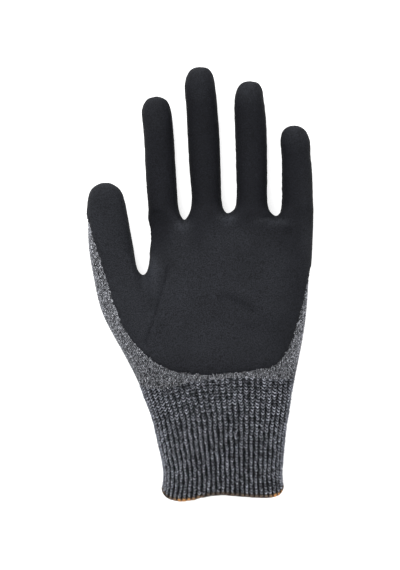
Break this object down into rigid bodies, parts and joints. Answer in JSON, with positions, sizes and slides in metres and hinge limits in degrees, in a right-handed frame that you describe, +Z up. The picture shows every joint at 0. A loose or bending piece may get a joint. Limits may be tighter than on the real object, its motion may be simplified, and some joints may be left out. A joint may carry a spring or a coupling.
{
  "type": "coated work glove",
  "caption": "Knitted left-hand work glove lying palm up, with a rubber-coated palm and fingers and a ribbed, overlocked cuff.",
  "frame": {"origin": "middle of the glove's footprint, on the surface it lies on", "axes": "+X from the thumb's side to the little finger's, +Y from the cuff to the fingertips, +Z up, out of the palm"},
  "size_m": [0.1282, 0.2446, 0.0247],
  "materials": {
    "liner_knit": "fine heather knit, matte",
    "coating": "foamed, matte",
    "rib_knit": "ribbed heather knit, matte",
    "hem_thread": "twisted overlock thread"
  },
  "bodies": {
    "root": {"hand_liner": "liner_knit", "palm_coating": "coating", "rib_cuff": "rib_knit", "hem_overlock": "hem_thread"}
  },
  "joints": []
}
